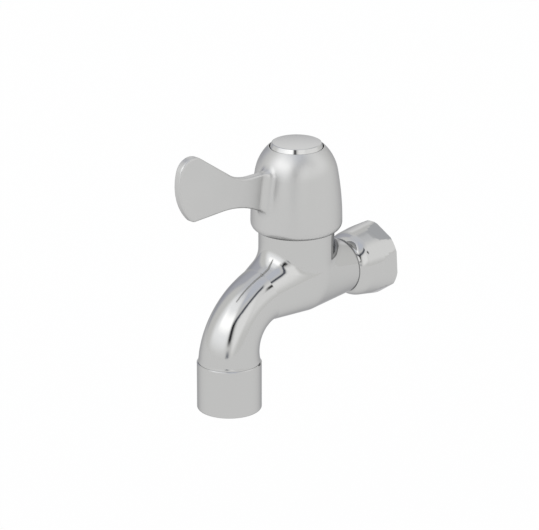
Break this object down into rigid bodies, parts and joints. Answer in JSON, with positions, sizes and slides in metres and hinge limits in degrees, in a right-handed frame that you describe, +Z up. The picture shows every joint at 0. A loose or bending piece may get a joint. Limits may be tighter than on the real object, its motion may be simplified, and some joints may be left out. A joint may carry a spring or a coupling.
{
  "type": "wall-mounted basin tap",
  "caption": "Chromed wall-mounted cold-water tap with a bent spout, an aerator, a hexagonal union nut and a bell-shaped cap handle with an upright fan-shaped lever.",
  "frame": {"origin": "centre of the union nut's rear face, on the inlet axis, where the wall pipe's thread enters", "axes": "+Z up along the valve tower, +Y along the inlet axis out of the nut and into the wall, spout and closed lever towards -Y"},
  "size_m": [0.0354, 0.1022, 0.1058],
  "materials": {
    "body_chrome": "polished",
    "handle_chrome": "polished",
    "valve_brass": "machined",
    "spring_steel": "satin",
    "stainless": "satin",
    "seal_rubber": "matte",
    "disc_ceramic": "polished",
    "white_plastic": "moulded",
    "grey_plastic": "moulded"
  },
  "bodies": {
    "body": {"body_casting": "body_chrome", "nut_retaining_ring": "spring_steel", "inlet_washer": "seal_rubber", "cartridge_body": "valve_brass", "cartridge_gasket": "seal_rubber", "seat_seal": "seal_rubber", "fixed_disc": "disc_ceramic", "aerator_housing": "body_chrome", "aerator_gasket": "seal_rubber", "aerator_insert": "grey_plastic", "aerator_screens": "stainless", "aerator_diffuser": "grey_plastic"},
    "union_nut": {"union_nut": "body_chrome"},
    "handle": {"handle": "handle_chrome", "spline_adapter": "white_plastic", "handle_screw": "stainless", "index_cap": "handle_chrome", "cap_ring": "seal_rubber", "spindle": "valve_brass", "spindle_o_rings": "seal_rubber", "slip_washer": "white_plastic", "spindle_clip": "spring_steel", "moving_disc": "disc_ceramic"}
  },
  "joints": [
    {"name": "handle_turn", "type": "hinge", "parent": "body", "child": "handle", "pos_m": [0, -0.0413, 0.05], "axis": [0, 0, 1], "range_deg": [0, 90]},
    {"name": "union_nut_spin", "type": "hinge", "parent": "body", "child": "union_nut", "pos_m": [0, -0.01, 0], "axis": [0, 1, 0], "continuous": true}
  ]
}
